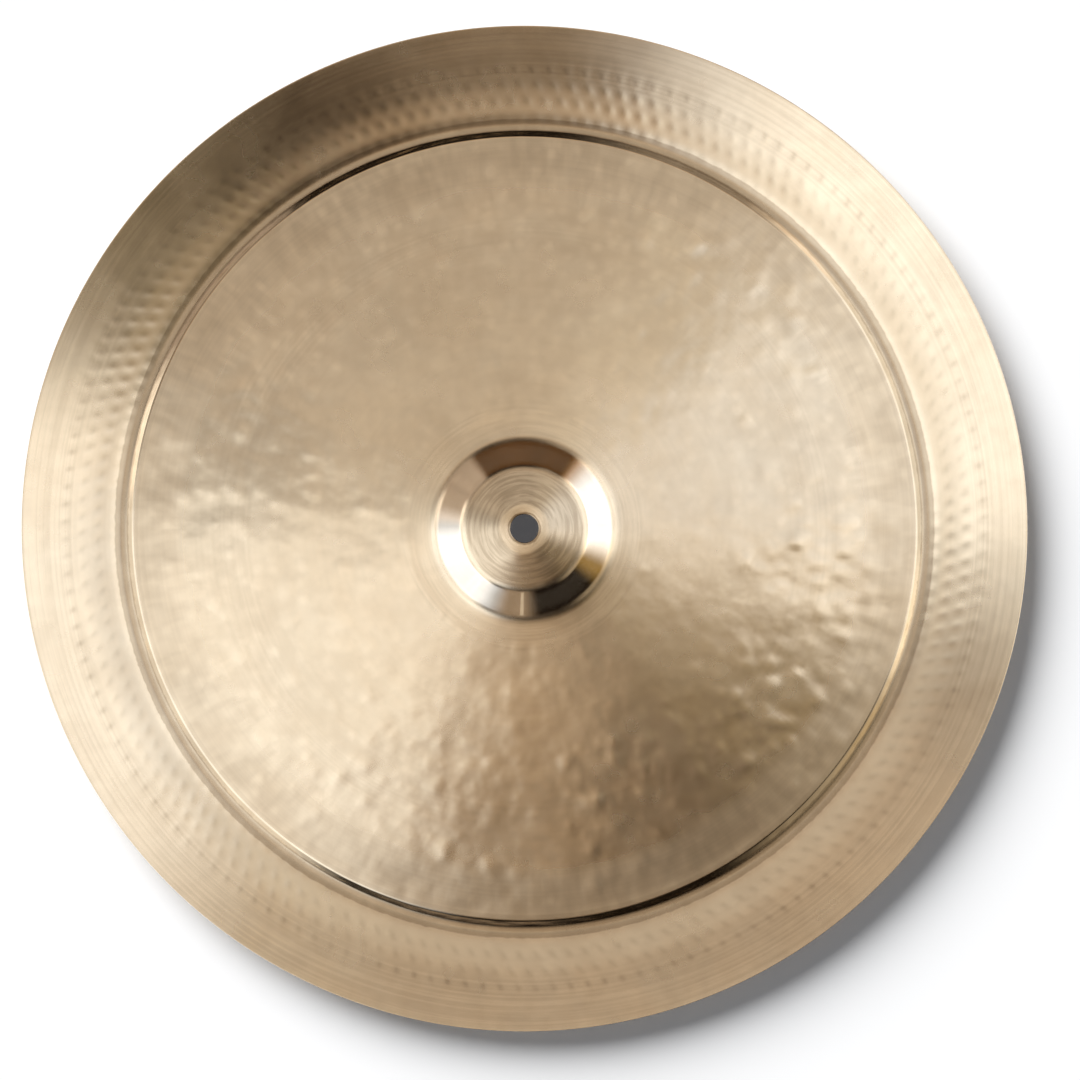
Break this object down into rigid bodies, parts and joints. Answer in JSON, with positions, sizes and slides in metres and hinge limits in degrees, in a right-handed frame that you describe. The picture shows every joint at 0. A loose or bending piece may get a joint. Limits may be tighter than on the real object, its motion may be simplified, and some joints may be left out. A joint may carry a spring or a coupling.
{
  "type": "china cymbal",
  "caption": "China cymbal: a thin hammered bronze disc with a conical flat-topped bell round a stand hole, a gently crowned bow, a narrow crease and a wide upturned flange.",
  "frame": {"origin": "centre of the bounding box's base: on the cymbal's axis, in the plane of the crease's underside, where it lies on a table", "axes": "+Z along the cymbal's axis, out of the bell; X and Y across the rim"},
  "size_m": [0.4572, 0.4572, 0.0346],
  "materials": {
    "bronze": "bright cast bronze, lathed in fine circles and hammered, lightly polished"
  },
  "bodies": {
    "root": {"cymbal": "bronze"}
  },
  "joints": []
}
